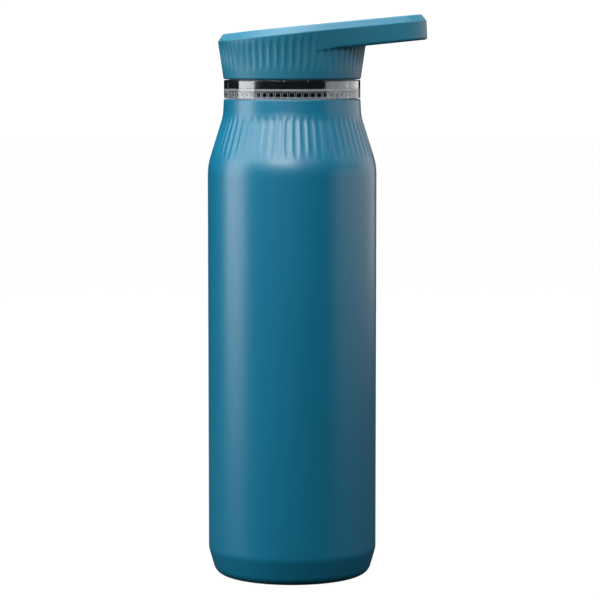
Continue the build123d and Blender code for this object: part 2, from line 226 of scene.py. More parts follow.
# ---- outlines and meshes ------------------------------------------------------------------------
def rounded(corners, radii, step=10.0, support=0.3):
    """Corners of an outline with arcs at the inner ones, and support points beside each arc.

    A support point keeps the shading of a long flat stretch from leaning towards its arc.
    """
    points = [Vector(corners[0])]
    for before, corner, after, radius in zip(corners, corners[1:], corners[2:], radii):
        before, corner, after = Vector(before), Vector(corner), Vector(after)
        along, away = (corner - before).normalized(), (after - corner).normalized()
        turn = along.angle(away)
        if radius <= 0 or turn < 1e-4:
            points.append(corner)
            continue
        reach = radius * math.tan(turn / 2)
        start, end = corner - along * reach, corner + away * reach
        side = (away - along).normalized()
        centre = corner + side * (radius / math.cos(turn / 2))
        if (start - points[-1]).length > 2 * support:
            points.append(start - along * support)
        count = max(2, round(math.degrees(turn) / step))
        first = start - centre
        spin = math.copysign(turn, along.x * away.y - along.y * away.x)
        for index in range(count + 1):
            angle = spin * index / count
            cos_a, sin_a = math.cos(angle), math.sin(angle)
            turned = Vector((first.x * cos_a - first.y * sin_a, first.x * sin_a + first.y * cos_a))
            points.append(centre + turned)
        if (after - end).length > 2 * support:
            points.append(end + away * support)
    points.append(Vector(corners[-1]))
    return points


def ladder(start, end, count):
    """Evenly spaced points from start up to, and without, end."""
    start, end = Vector(start), Vector(end)
    return [start.lerp(end, index / count) for index in range(count)]


def closed_grid(name, columns, close_rows=True):
    """A piece from columns of points that go round the axis; each column is closed unless told."""
    mesh = bpy.data.meshes.new(name)
    rows = len(columns[0])
    verts = [point * MM for column in columns for point in column]
    faces = []
    for here in range(len(columns)):
        there = (here + 1) % len(columns)
        for row in range(rows if close_rows else rows - 1):
            above = (row + 1) % rows
            faces.append((here * rows + row, there * rows + row, there * rows + above, here * rows + above))
    mesh.from_pydata(verts, [], faces)
    shell = bmesh.new()
    shell.from_mesh(mesh)
    bmesh.ops.remove_doubles(shell, verts=shell.verts, dist=0.0005 * MM)
    bmesh.ops.dissolve_degenerate(shell, edges=shell.edges, dist=0.0005 * MM)
    bmesh.ops.recalc_face_normals(shell, faces=shell.faces)
    shell.to_mesh(mesh)
    shell.free()
    mesh.update()
    piece = bpy.data.objects.new(name, mesh)
    bpy.context.scene.collection.objects.link(piece)
    return piece


def at_turn(point, turn):
    """An (r, z) outline point turned round the axis."""
    return Vector((point[0] * math.cos(turn), point[0] * math.sin(turn), point[1]))


def lathe(name, outline, count):
    """A closed (r, z) outline revolved round the axis."""
    turns = [math.tau * index / count for index in range(count)]
    return closed_grid(name, [[at_turn(point, turn) for point in outline] for turn in turns])


def smooth(piece, sharp_angle=35.0):
    """Shades a piece smooth, with edges sharper than the angle left hard."""
    piece.data.shade_smooth()
    piece.data.set_sharp_from_angle(angle=math.radians(sharp_angle))


def ramp(value, start, end):
    """0 before start, 1 after end, and a smooth step between."""
    share = min(1.0, max(0.0, (value - start) / (end - start)))
    return share * share * (3 - 2 * share)


def run_out(value, length):
    """0 up to the end of a flute, 1 from a length inside it, and a parabola between."""
    share = min(1.0, max(0.0, value / length))
    return share * (2 - share)


def mark(piece, attribute, rule):
    """Writes a number on each point of a piece, from a rule that reads the point in millimetres."""
    layer = piece.data.attributes.new(attribute, "FLOAT", "POINT")
    layer.data.foreach_set("value", [rule(vertex.co / MM) for vertex in piece.data.vertices])


# ---- node trees ---------------------------------------------------------------------------------
def add_node(tree, kind, inputs=None, **settings):
    """Adds a node; inputs holds values, or sockets to link from, by input name or number."""
    node = tree.nodes.new(kind)
    for key, value in settings.items():
        setattr(node, key, value)
    for key, value in (inputs or {}).items():
        if isinstance(value, bpy.types.NodeSocket):
            tree.links.new(value, node.inputs[key])
        else:
            node.inputs[key].default_value = value
    return node


def new_relief_tree(name, inputs):
    """A geometry tree with named inputs, and the polar angle, height and normal of each point."""
    tree = bpy.data.node_groups.new(name, "GeometryNodeTree")
    tree.interface.new_socket("Geometry", in_out="INPUT", socket_type="NodeSocketGeometry")
    for socket, kind, value, about in inputs:
        made = tree.interface.new_socket(socket, in_out="INPUT", socket_type=kind, description=about)
        if value is not None:
            made.default_value = value
    tree.interface.new_socket("Geometry", in_out="OUTPUT", socket_type="NodeSocketGeometry")
    group = add_node(tree, "NodeGroupInput")
    place = add_node(tree, "GeometryNodeInputPosition")
    split = add_node(tree, "ShaderNodeSeparateXYZ", {0: place.outputs[0]})
    angle = add_node(tree, "ShaderNodeMath", {0: split.outputs[1], 1: split.outputs[0]}, operation="ARCTAN2")
    return tree, group.outputs, angle.outputs[0], split.outputs[2]


def end_relief_tree(tree, group, height):
    """Moves each point along its normal by height, sets the material and ends the tree."""
    normal = add_node(tree, "GeometryNodeInputNormal")
    push = add_node(tree, "ShaderNodeVectorMath", {0: normal.outputs[0], "Scale": height}, operation="SCALE")
    moved = add_node(
        tree, "GeometryNodeSetPosition", {"Geometry": group["Geometry"], "Offset": push.outputs[0]}
    )
    real = add_node(tree, "GeometryNodeRealizeInstances", {0: moved.outputs[0]})
    finish = add_node(
        tree, "GeometryNodeSetMaterial", {"Geometry": real.outputs[0], "Material": group["Material"]}
    )
    add_node(tree, "NodeGroupOutput", {0: finish.outputs[0]})
    return tree


def fluted_relief():
    """Rounded flutes round the axis, sunk where the point attribute flute_fade says.

    A flute runs out as its cutter lifts off the wall, so it narrows to a point as it gets shallow.
    """
    tree, group, angle, _ = new_relief_tree(
        "Fluted Relief",
        [
            ("Flutes", "NodeSocketFloat", 60.0, "Number of flutes in a full turn"),
            ("Depth", "NodeSocketFloat", 0.0004, "Depth of a flute in metres"),
            ("Width", "NodeSocketFloat", 0.87, "Share of the pitch that a flute takes"),
            ("Turn", "NodeSocketFloat", 0.0, "Turns the whole pattern, in pitches"),
            ("Material", "NodeSocketMaterial", None, "Finish of the piece"),
        ],
    )
    pitches = add_node(tree, "ShaderNodeMath", {0: angle, 1: 1 / math.tau}, operation="MULTIPLY")
    counted = add_node(
        tree,
        "ShaderNodeMath",
        {0: pitches.outputs[0], 1: group["Flutes"], 2: group["Turn"]},
        operation="MULTIPLY_ADD",
    )
    share = add_node(tree, "ShaderNodeMath", {0: counted.outputs[0]}, operation="FRACT")
    centred = add_node(tree, "ShaderNodeMath", {0: share.outputs[0], 1: 0.5}, operation="SUBTRACT")
    across = add_node(tree, "ShaderNodeMath", {0: centred.outputs[0], 1: group["Width"]}, operation="DIVIDE")
    bowl = add_node(
        tree, "ShaderNodeMath", {0: across.outputs[0], 1: across.outputs[0]}, operation="MULTIPLY"
    )
    sunk = add_node(tree, "ShaderNodeMath", {0: bowl.outputs[0], 1: -4.0, 2: 1.0}, operation="MULTIPLY_ADD")
    fade = add_node(tree, "GeometryNodeInputNamedAttribute", {"Name": "flute_fade"}, data_type="FLOAT")
    lifted = add_node(
        tree, "ShaderNodeMath", {0: fade.outputs[0], 1: FLUTE_LIFT, 2: -FLUTE_LIFT}, operation="MULTIPLY_ADD"
    )
    left = add_node(tree, "ShaderNodeMath", {0: sunk.outputs[0], 1: lifted.outputs[0]}, operation="ADD")
    crest = add_node(
        tree, "ShaderNodeMath", {0: left.outputs[0], 1: 0.0, 2: FLUTE_LIFT - 1}, operation="SMOOTH_MAX"
    )
    down = add_node(tree, "ShaderNodeMath", {0: group["Depth"], 1: -1.0}, operation="MULTIPLY")
    height = add_node(tree, "ShaderNodeMath", {0: crest.outputs[0], 1: down.outputs[0]}, operation="MULTIPLY")
    return end_relief_tree(tree, group, height.outputs[0])


def threaded_relief():
    """Short helical ridges, raised where the point attribute thread_zone says."""
    tree, group, angle, height = new_relief_tree(
        "Threaded Relief",
        [
            ("Low", "NodeSocketFloat", 0.2, "Height where each ridge starts, in metres"),
            ("Lead", "NodeSocketFloat", 0.009, "Rise in a full turn, in metres"),
            ("Starts", "NodeSocketFloat", 2.0, "Number of ridges"),
            ("Turn", "NodeSocketFloat", 1.745, "Angle that each ridge runs round, in radians"),
            ("Foot", "NodeSocketFloat", 0.0019, "Width at the foot in metres"),
            ("Crest", "NodeSocketFloat", 0.0009, "Width at the crest in metres"),
            ("Height", "NodeSocketFloat", 0.0013, "How far a ridge stands off, in metres"),
            ("Material", "NodeSocketMaterial", None, "Finish of the piece"),
        ],
    )
    sector = add_node(tree, "ShaderNodeMath", {0: math.tau, 1: group["Starts"]}, operation="DIVIDE")
    along = add_node(tree, "ShaderNodeMath", {0: angle, 1: sector.outputs[0]}, operation="FLOORED_MODULO")
    rise = add_node(tree, "ShaderNodeMath", {0: group["Lead"], 1: 1 / math.tau}, operation="MULTIPLY")
    middle = add_node(
        tree,
        "ShaderNodeMath",
        {0: along.outputs[0], 1: rise.outputs[0], 2: group["Low"]},
        operation="MULTIPLY_ADD",
    )
    off = add_node(tree, "ShaderNodeMath", {0: height, 1: middle.outputs[0]}, operation="SUBTRACT")
    gap = add_node(tree, "ShaderNodeMath", {0: off.outputs[0]}, operation="ABSOLUTE")
    foot = add_node(tree, "ShaderNodeMath", {0: group["Foot"], 1: 0.5}, operation="MULTIPLY")
    crest = add_node(tree, "ShaderNodeMath", {0: group["Crest"], 1: 0.5}, operation="MULTIPLY")
    flank = add_node(
        tree,
        "ShaderNodeMapRange",
        {"Value": gap.outputs[0], "From Min": foot.outputs[0], "From Max": crest.outputs[0]},
    )
    run_in = add_node(
        tree,
        "ShaderNodeMapRange",
        {"Value": along.outputs[0], "From Max": 0.08},
        interpolation_type="SMOOTHSTEP",
    )
    left = add_node(tree, "ShaderNodeMath", {0: group["Turn"], 1: along.outputs[0]}, operation="SUBTRACT")
    run_out = add_node(
        tree,
        "ShaderNodeMapRange",
        {"Value": left.outputs[0], "From Max": 0.08},
        interpolation_type="SMOOTHSTEP",
    )
    ends = add_node(
        tree, "ShaderNodeMath", {0: run_in.outputs[0], 1: run_out.outputs[0]}, operation="MULTIPLY"
    )
    ridge = add_node(tree, "ShaderNodeMath", {0: flank.outputs[0], 1: ends.outputs[0]}, operation="MULTIPLY")
    zone = add_node(tree, "GeometryNodeInputNamedAttribute", {"Name": "thread_zone"}, data_type="FLOAT")
    kept = add_node(tree, "ShaderNodeMath", {0: ridge.outputs[0], 1: zone.outputs[0]}, operation="MULTIPLY")
    lift = add_node(tree, "ShaderNodeMath", {0: kept.outputs[0], 1: group["Height"]}, operation="MULTIPLY")
    return end_relief_tree(tree, group, lift.outputs[0])


def shape_by(piece, tree, values, marks=()):
    """Runs a geometry tree on a piece, keeps its result as a plain mesh, and drops the marks."""
    modifier = piece.modifiers.new(tree.name, "NODES")
    modifier.node_group = tree
    for item in tree.interface.items_tree:
        if item.in_out == "INPUT" and item.name in values:
            modifier[item.identifier] = values[item.name]
    graph = bpy.context.evaluated_depsgraph_get()
    graph.update()
    mesh = bpy.data.meshes.new_from_object(piece.evaluated_get(graph))
    piece.modifiers.remove(modifier)
    piece.data = mesh
    for attribute in marks:
        mesh.attributes.remove(mesh.attributes[attribute])


def cut_thread(piece, material, low_z, lead, starts, zone, height=THREAD_H):
    """Raises a screw thread on the stretch of wall that the zone rule marks."""
    mark(piece, "thread_zone", zone)
    values = {
        "Low": low_z * MM,
        "Lead": lead * MM,
        "Starts": float(starts),
        "Turn": math.radians(THREAD_TURN),
        "Foot": THREAD_FOOT * MM,
        "Crest": THREAD_CREST * MM,
        "Height": height * MM,
        "Material": material,
    }
    shape_by(piece, named_tree("Threaded Relief", threaded_relief), values, ["thread_zone"])


def named_tree(name, maker):
    """The geometry tree of that name, made the first time it is asked for."""
    return bpy.data.node_groups.get(name) or maker()


# ---- materials ----------------------------------------------------------------------------------
def linear(colour):
    """An sRGB hex colour as linear RGBA."""
    values = []
    for start in (1, 3, 5):
        share = int(colour[start : start + 2], 16) / 255
        values.append(share / 12.92 if share <= 0.04045 else ((share + 0.055) / 1.055) ** 2.4)
    return (*values, 1.0)


def new_material(name, colour, roughness, **sockets):
    """A material with one Principled shader, set to values that are the same all over."""
    material = bpy.data.materials.new(name)
    material.use_nodes = True
    tree = material.node_tree
    shader = tree.nodes["Principled BSDF"]
    shader.inputs["Base Color"].default_value = linear(colour)
    shader.inputs["Roughness"].default_value = roughness
    for key, value in sockets.items():
        shader.inputs[key.replace("_", " ").title().replace("Ior", "IOR")].default_value = value
    return material, tree, shader


def grain(tree, shader, size, depth, detail=2.0, stretch=(1.0, 1.0, 1.0)):
    """Fine relief from noise whose bumps are size millimetres apart and depth deep."""
    place = add_node(tree, "ShaderNodeTexCoord")
    mapped = add_node(
        tree, "ShaderNodeMapping", {"Vector": place.outputs["Object"], "Scale": stretch}
    )
    noise = add_node(
        tree,
        "ShaderNodeTexNoise",
        {"Vector": mapped.outputs[0], "Scale": 1 / (size * MM), "Detail": detail, "Roughness": 0.5},
    )
    bump = add_node(
        tree,
        "ShaderNodeBump",
        {"Height": noise.outputs["Fac"], "Distance": depth * MM, "Strength": 1.0},
    )
    tree.links.new(bump.outputs[0], shader.inputs["Normal"])
    return mapped.outputs[0], noise.outputs["Fac"]


def shade_drift(tree, shader, place, size, dark, light, rough_low, rough_high):
    """Lets colour and roughness drift slowly, with patches size millimetres across."""
    drift = add_node(
        tree, "ShaderNodeTexNoise", {"Vector": place, "Scale": 1 / (size * MM), "Detail": 3.0}
    )
    mix = add_node(
        tree,
        "ShaderNodeMix",
        {0: drift.outputs["Fac"], 6: linear(dark), 7: linear(light)},
        data_type="RGBA",
    )
    tree.links.new(mix.outputs[2], shader.inputs["Base Color"])
    rough = add_node(
        tree,
        "ShaderNodeMapRange",
        {"Value": drift.outputs["Fac"], "To Min": rough_low, "To Max": rough_high},
    )
    tree.links.new(rough.outputs[0], shader.inputs["Roughness"])


def powder_coated_steel(look):
    """Satin powder coat: a soft sheen, and the faint orange peel of fused powder."""
    material, tree, shader = new_material("Powder Coated Steel", look.coat_light, 0.42, ior=1.5)
    place, _ = grain(tree, shader, look.peel_size, look.peel_depth, detail=3.0)
    shade_drift(
        tree, shader, place, 40.0, look.coat_dark, look.coat_light, look.coat_roughness - 0.02,
        look.coat_roughness + 0.02,
    )
    return material


def spark_eroded_polypropylene(look):
    """Moulded polypropylene from a spark-eroded mould: matte, with a fine even texture."""
    material, tree, shader = new_material("Spark Eroded Polypropylene", look.cap_light, 0.5, ior=1.49)
    place, _ = grain(tree, shader, look.mould_grain, look.mould_depth, detail=2.0)
    shade_drift(
        tree, shader, place, 25.0, look.cap_dark, look.cap_light, look.cap_roughness - 0.03,
        look.cap_roughness + 0.03,
    )
    return material


def clear_copolyester(look):
    """Injection moulded clear copolyester: glassy, with the slight waviness of a moulding."""
    material, tree, shader = new_material(
        "Clear Copolyester", look.clear_tint, 0.03, ior=1.54, transmission_weight=1.0, specular_ior_level=0.4
    )
    grain(tree, shader, 4.0, 0.004, detail=1.0)
    return material


def frosted_copolyester():
    """Clear copolyester where the mould was spark-eroded: light scatters in its skin, so it looks white."""
    material, tree, shader = new_material(
        "Spark Eroded Copolyester", "#F4F6F8", 0.45, ior=1.54, transmission_weight=0.15
    )
    grain(tree, shader, 0.2, 0.01)
    return material


def dark_polypropylene(look):
    """Moulded polypropylene in near black, polished where the gasket seals."""
    material, tree, shader = new_material("Dark Polypropylene", look.liner_colour, 0.32, ior=1.49)
    grain(tree, shader, 0.8, 0.003, detail=2.0)
    return material


def silicone_rubber(look):
    """Moulded silicone: milky, and light scatters a little way in."""
    material, tree, shader = new_material(
        "Silicone Rubber", look.silicone_colour, 0.5, ior=1.41, subsurface_weight=0.3, subsurface_scale=0.001
    )
    grain(tree, shader, 0.5, 0.004)
    return material


def brushed_stainless(look):
    """Stainless steel brushed round the axis: fine rings that stretch its highlights."""
    material, tree, shader = new_material("Brushed Stainless Steel", look.steel_colour, 0.28, metallic=1.0)
    place, _ = grain(tree, shader, 0.25, 0.0025, detail=3.0, stretch=(0.04, 0.04, 1.0))
    shade_drift(tree, shader, place, 2.0, "#A9A9A7", look.steel_colour, 0.24, 0.34)
    return material


def bare_metal(name, colour, roughness, grain_size, grain_depth):
    """Bare metal whose skin is only as smooth as its making left it."""
    material, tree, shader = new_material(name, colour, roughness, metallic=1.0)
    grain(tree, shader, grain_size, grain_depth, detail=3.0)
    return material


def closed_cell_foam():
    """Closed-cell foam: matte, with the pits of its cut cells."""
    material, tree, shader = new_material("Closed Cell Foam", "#D9D8D2", 0.9, ior=1.45)
    grain(tree, shader, 0.7, 0.12, detail=1.0)
    return material


def finish_cad_node(node, material):
    """Gives a CAD node that is shown as it is its material."""
    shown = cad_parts[node]
    shown.data.materials.clear()
    shown.data.materials.append(material)


def material_of(name, maker, *args):
    """The material of that name, made the first time it is asked for."""
    return bpy.data.materials.get(name) or maker(*args)


def place_piece(piece, body, slot, *nodes):
    """Lets a finished piece ride on its body and stand for its CAD nodes; slot is not used."""
    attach(piece, body)
    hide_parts(*nodes)


# ---- the lid's shape ----------------------------------------------------------------------------
def cap_radius(z):
    """Outside radius of the cap's cone at a height."""
    return CAP_LOW_R + (z - CAP_LOW_Z) * CAP_SLOPE


def cone_on_level(axis_z, turn, inset=0.0):
    """The point, at a turn round the axis, where a sloping level cuts the cap's cone."""
    radius = (cap_radius(axis_z) - inset) / (1 - CAP_SLOPE * LID_RISE * math.cos(turn))
    x = radius * math.cos(turn)
    return Vector((x, radius * math.sin(turn), axis_z + LID_RISE * x))


def lid_station(axis_z, tip_r, turn):
    """A point of the lid's outline on a sloping level, its outward normal, and where the flank starts.

    The outline is the cone's near-circle, the tongue's round tip, and the flanks tangent to both.
    Turns that face the tongue share out the flank and the tip evenly.
    """
    centre = CAP_SLOPE * LID_RISE * cap_radius(axis_z)
    big = cap_radius(axis_z)
    meet = math.acos((big - tip_r) / (TONGUE_X - centre))
    meet_point = Vector((centre + big * math.cos(meet), big * math.sin(meet)))
    meet_turn = math.atan2(meet_point.y, meet_point.x)
    side = math.copysign(1.0, turn)
    if abs(turn) >= meet_turn:
        point = cone_on_level(axis_z, turn)
        normal = Vector((point.x - centre, point.y, 0)).normalized()
        return point, normal, meet_turn
    tip_point = Vector((TONGUE_X + tip_r * math.cos(meet), tip_r * math.sin(meet)))
    flank = (tip_point - meet_point).length
    run = (1 - abs(turn) / meet_turn) * (flank + tip_r * meet)
    if run < flank:
        flat = meet_point.lerp(tip_point, run / flank)
        normal = Vector((math.cos(meet), math.sin(meet)))
    else:
        angle = meet - (run - flank) / tip_r
        normal = Vector((math.cos(angle), math.sin(angle)))
        flat = Vector((TONGUE_X, 0)) + normal * tip_r
    point = Vector((flat.x, side * flat.y, axis_z + LID_RISE * flat.x))
    return point, Vector((normal.x, side * normal.y, 0)), meet_turn


def on_slope(point, axis_z):
    """A point moved up or down onto a sloping level."""
    return Vector((point.x, point.y, axis_z + LID_RISE * point.x))


def hit_circle(start, end, radius):
    """Where the line from start, inside a circle round the axis, to end crosses it."""
    line = end.xy - start.xy
    a, b, c = line.dot(line), 2 * start.xy.dot(line), start.xy.dot(start.xy) - radius * radius
    if a < 1e-9:
        return end
    share = (-b + math.sqrt(max(0.0, b * b - 4 * a * c))) / (2 * a)
    return start.lerp(end, min(1.0, max(0.0, share)))


FLANK_ROWS = 14
WALL_ROWS = 30
UNDER_Z = LID_Z - TONGUE_T
EDGE_Z = LID_Z - BEVEL_H
CEILING_Z = LID_Z - LID_SKIN


def lid_column(turn):
    """One column of the cap shell, from the lid's centre round the outside to the ceiling's centre."""
    upper, upper_normal, _ = lid_station(EDGE_Z, TONGUE_TIP_R, turn)
    lower, lower_normal, _ = lid_station(UNDER_Z, TONGUE_TIP_R + TONGUE_DRAFT, turn)
    wall = cone_on_level(UNDER_Z, turn)
    reach = (lower - wall).length
    ease = ramp(reach, 0.0, 3 * TONGUE_ROUND)
    fillet = TONGUE_ROUND * ease

    def skin(out, drop):
        """A point out along the outline's normal, at a drop below the lid's top."""
        share = max(0.0, (drop - BEVEL_H) / (TONGUE_T - BEVEL_H))
        normal = upper_normal.lerp(lower_normal, share)
        return on_slope(upper.lerp(lower, share) + normal * out, LID_Z - drop)

    column = [Vector((0, 0, LID_Z))]
    edge = rounded(
        [(-6.0, 0.0), (-BEVEL_W, 0.0), (0.0, BEVEL_H), (0.0, BEVEL_H + 2.0)], [BEVEL_ROUND, BEVEL_ROUND], 8.0
    )
    column += [skin(point.x, point.y) for point in edge[:-1]]
    flank_top = edge[-2].y
    flank_end = TONGUE_T - fillet
    for row in range(1, FLANK_ROWS + 1):
        column.append(skin(0.0, flank_top + (flank_end - flank_top) * row / FLANK_ROWS))
    for row in range(1, 9):
        angle = math.pi / 2 * row / 8
        column.append(skin(-fillet * (1 - math.cos(angle)), flank_end + fillet * math.sin(angle)))

    # The underside: a rim, the deep recess that the tongue's cover closes, and the web by the cap.
    under = column[-1]
    rim = on_slope(lower - lower_normal * TONGUE_WALL, UNDER_Z)
    web = hit_circle(wall, rim, WEB_R)
    depth = TONGUE_T - LID_SKIN
    if (rim - wall).dot(lower - wall) <= 0 or (rim - web).dot(rim - wall) <= 0.25 or reach < TONGUE_WALL:
        rim = web = wall.lerp(under, 0.5)
        depth = 0.0
    column += [under.lerp(rim, 0.15), rim]
    column += [on_slope(rim, UNDER_Z + depth), on_slope(web, UNDER_Z + depth)]
    column += [web, wall]

    # The fluted wall down to the cap's lower edge, its rounding, and the bore back up to the ceiling.
    foot_z = CAP_LOW_Z + CAP_ROUND * 1.2
    for row in range(1, WALL_ROWS + 1):
        z = wall.z + (foot_z - wall.z) * row / WALL_ROWS
        column.append(at_turn((cap_radius(z), z), turn))
    bore_r = CAP_LOW_R - CAP_WALL
    foot = rounded(
        [
            (cap_radius(foot_z), foot_z),
            (CAP_LOW_R, CAP_LOW_Z),
            (bore_r, CAP_LOW_Z),
            (bore_r + 0.3, CAP_LOW_Z + 2.0),
        ],
        [CAP_ROUND, 0.3],
        12.0,
        0.1,
    )
    column += [at_turn(point, turn) for point in foot[1:]]
    ceiling = cone_on_level(CEILING_Z, turn, CAP_WALL)
    column += [ceiling, ceiling * 0.97 + Vector((0, 0, CEILING_Z * 0.03)), Vector((0, 0, CEILING_Z))]
    return column


def cap_flute_fade(point):
    """How deep the cap's flutes are at a point: they run out at both ends and beside the tongue."""
    turn = math.atan2(point.y, point.x)
    radius = math.hypot(point.x, point.y)
    if radius < cap_radius(point.z) - 0.3 or radius > cap_radius(point.z) + 0.3:
        return 0.0
    _, _, meet_turn = lid_station(EDGE_Z, TONGUE_TIP_R, turn)
    slope = LID_RISE * point.x
    beside = ramp(abs(turn) - meet_turn, math.radians(-1.0), math.radians(9.0))
    open_top = run_out(EDGE_Z + slope - 0.4 - point.z, CAP_RUN_OPEN)
    under_top = run_out(UNDER_Z + slope + 0.3 - point.z, CAP_RUN_UNDER)
    low = run_out(point.z - CAP_FLUTE_LOW, CAP_RUN_LOW)
    return low * (under_top * (1 - beside) + open_top * beside)


# ---- properties ---------------------------------------------------------------------------------
class BottleSizes(bpy.types.PropertyGroup):
    flutes: bpy.props.IntProperty(
        name="Flutes", description="Flutes round cap and shoulder", default=FLUTES, min=3
    )
    cap_flute_depth: bpy.props.FloatProperty(
        name="Cap Flute Depth", description="Depth of the cap's flutes", default=0.5 * MM, unit="LENGTH",
        precision=5,
    )
    shoulder_flute_depth: bpy.props.FloatProperty(
        name="Shoulder Flute Depth", description="Depth of the shoulder's flutes", default=0.26 * MM,
        unit="LENGTH", precision=5,
    )
    flute_width: bpy.props.FloatProperty(
        name="Flute Width",
        description="Share of the pitch that a flute takes",
        default=0.92,
        subtype="FACTOR",
        min=0.1, max=1.0,
    )
    columns_per_flute: bpy.props.IntProperty(
        name="Columns per Flute", description="Mesh columns across one flute", default=12, min=6, max=16
    )


class BottleFinish(bpy.types.PropertyGroup):
    coat_dark: bpy.props.StringProperty(
        name="Coat Dark", description="Darker tint of the powder coat", default="#065C78"
    )
    coat_light: bpy.props.StringProperty(
        name="Coat Light", description="Lighter tint of the powder coat", default="#08637F"
    )
    coat_roughness: bpy.props.FloatProperty(
        name="Coat Roughness", description="Roughness of the powder coat", default=0.32, subtype="FACTOR"
    )
    peel_size: bpy.props.FloatProperty(
        name="Orange Peel Size", description="Distance between the coat's bumps, in millimetres", default=0.45
    )
    peel_depth: bpy.props.FloatProperty(
        name="Orange Peel Depth", description="Depth of the coat's bumps, in millimetres", default=0.008
    )
    cap_dark: bpy.props.StringProperty(
        name="Cap Dark", description="Darker tint of the cap", default="#105D75"
    )
    cap_light: bpy.props.StringProperty(
        name="Cap Light", description="Lighter tint of the cap", default="#13637B"
    )
    cap_roughness: bpy.props.FloatProperty(
        name="Cap Roughness", description="Roughness of the cap's plastic", default=0.46, subtype="FACTOR"
    )
    mould_grain: bpy.props.FloatProperty(
        name="Mould Grain",
        description="Distance between the mould texture's bumps, in millimetres",
        default=0.3,
    )
    mould_depth: bpy.props.FloatProperty(
        name="Mould Depth", description="Depth of the mould texture, in millimetres", default=0.01
    )
    clear_tint: bpy.props.StringProperty(
        name="Clear Tint", description="Tint of the clear plastic", default="#D5DCE2"
    )
    liner_colour: bpy.props.StringProperty(
        name="Liner", description="Colour of the cap's liner", default="#15181B"
    )
    silicone_colour: bpy.props.StringProperty(
        name="Silicone", description="Colour of the silicone seals", default="#C9CCCE"
    )
    steel_colour: bpy.props.StringProperty(
        name="Steel", description="Colour of the bare steel", default="#C9C8C5"
    )


# ---- operators ----------------------------------------------------------------------------------
class BOTTLE_OT_outer_wall(bpy.types.Operator):
    """Make the powder-coated outer wall, with its tapered base and fluted shoulder"""

    bl_idname = "bottle.outer_wall"
    bl_label = "Outer Wall"

    def execute(self, context):
        sizes, look = context.scene.bottle_sizes, context.scene.bottle_finish
        outside = rounded(
            [
                (WELD_R, 0.0),
                (FOOT_CORNER_R, 0.0),
                (BODY_R, BASE_H),
                (BODY_R, SHOULDER_Z),
                (NECK_R, NECK_Z),
                (RIM_R, RIM_Z),
                (RIM_R - WALL_T, RIM_Z),
            ],
            [FOOT_FILLET, BASE_ROUND, SHOULDER_BLEND, NECK_BLEND, RIM_ROUND],
            4.0,
        )
        outline = self.with_flute_rows(outside)
        outline += rounded(
            [
                (RIM_R - WALL_T, RIM_Z - 0.05),
                (NECK_R - WALL_T, NECK_Z),
                (BODY_R - WALL_T, SHOULDER_Z),
                (BODY_R - WALL_T, BASE_H),
                (FOOT_CORNER_R - WALL_T, WALL_T),
                (WELD_R, WALL_T),
            ],
            [NECK_BLEND, SHOULDER_BLEND, BASE_ROUND, FOOT_FILLET - WALL_T],
            12.0,
        )
        wall = lathe("bottle_outer_wall", outline, sizes.flutes * sizes.columns_per_flute)
        mark(wall, "flute_fade", self.flute_fade)
        values = {
            "Flutes": float(sizes.flutes),
            "Depth": sizes.shoulder_flute_depth,
            "Width": sizes.flute_width,
            "Material": material_of("Powder Coated Steel", powder_coated_steel, look),
        }
        shape_by(wall, named_tree("Fluted Relief", fluted_relief), values, ["flute_fade"])
        smooth(wall)
        place_piece(wall, "bottle", "coated_steel", "outer_wall")
        return {"FINISHED"}

    @staticmethod
    def with_flute_rows(outline):
        """The outline with close rows over the fluted stretch, so that the flutes can run out softly."""
        points = []
        for here, there in zip(outline, outline[1:]):
            points.append(here)
            length = (there - here).length
            middle = (here.y + there.y) / 2
            if SHOULDER_FLUTE_LOW - 1 < middle < SHOULDER_FLUTE_HIGH + 1 and length > 1:
                points += ladder(here, there, math.ceil(length / 0.8))[1:]
        points.append(outline[-1])
        return points

    @staticmethod
    def flute_fade(point):
        """How deep the shoulder's flutes are at a point: they run out softly at both ends."""
        if math.hypot(point.x, point.y) < NECK_R - WALL_T / 2 and point.z > NECK_Z:
            return 0.0
        slope_r = BODY_R + (NECK_R - BODY_R) * (point.z - SHOULDER_Z) / (NECK_Z - SHOULDER_Z)
        if math.hypot(point.x, point.y) < slope_r - 0.5 * WALL_T:
            return 0.0
        return run_out(point.z - SHOULDER_FLUTE_LOW, 9.0) * run_out(SHOULDER_FLUTE_HIGH - point.z, 4.5)


